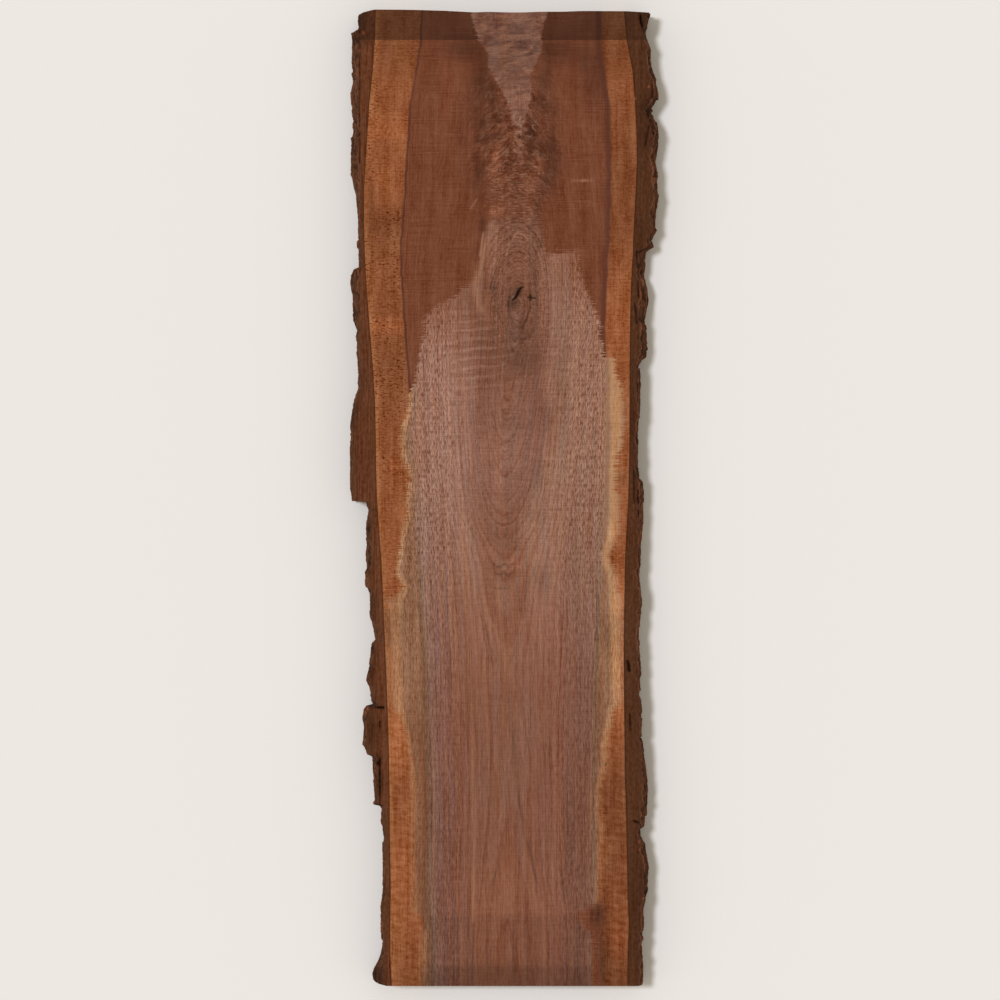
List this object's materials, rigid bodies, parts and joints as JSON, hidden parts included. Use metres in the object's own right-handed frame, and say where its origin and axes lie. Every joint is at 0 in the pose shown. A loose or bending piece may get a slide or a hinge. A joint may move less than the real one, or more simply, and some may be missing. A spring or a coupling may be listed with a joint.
{
  "type": "walnut wood slab",
  "caption": "Live-edge slab of walnut lying flat: flat sawn faces, square-cut ends, pale sapwood and bark along both long edges, and a knot in the show face.",
  "frame": {"origin": "middle of the slab's footprint, on the back face that it rests on", "axes": "+Y along the slab from its foot to its top, +Z out of the show face, +X across it, to the right when the show face is seen with the top up"},
  "size_m": [0.387, 1.2192, 0.051],
  "materials": {
    "sawn_walnut": "rough-sawn, matt, partly damp",
    "bark": "rough, furrowed, matt"
  },
  "bodies": {
    "root": {"wood": "sawn_walnut", "bark_left": "bark", "bark_right": "bark"}
  },
  "joints": []
}
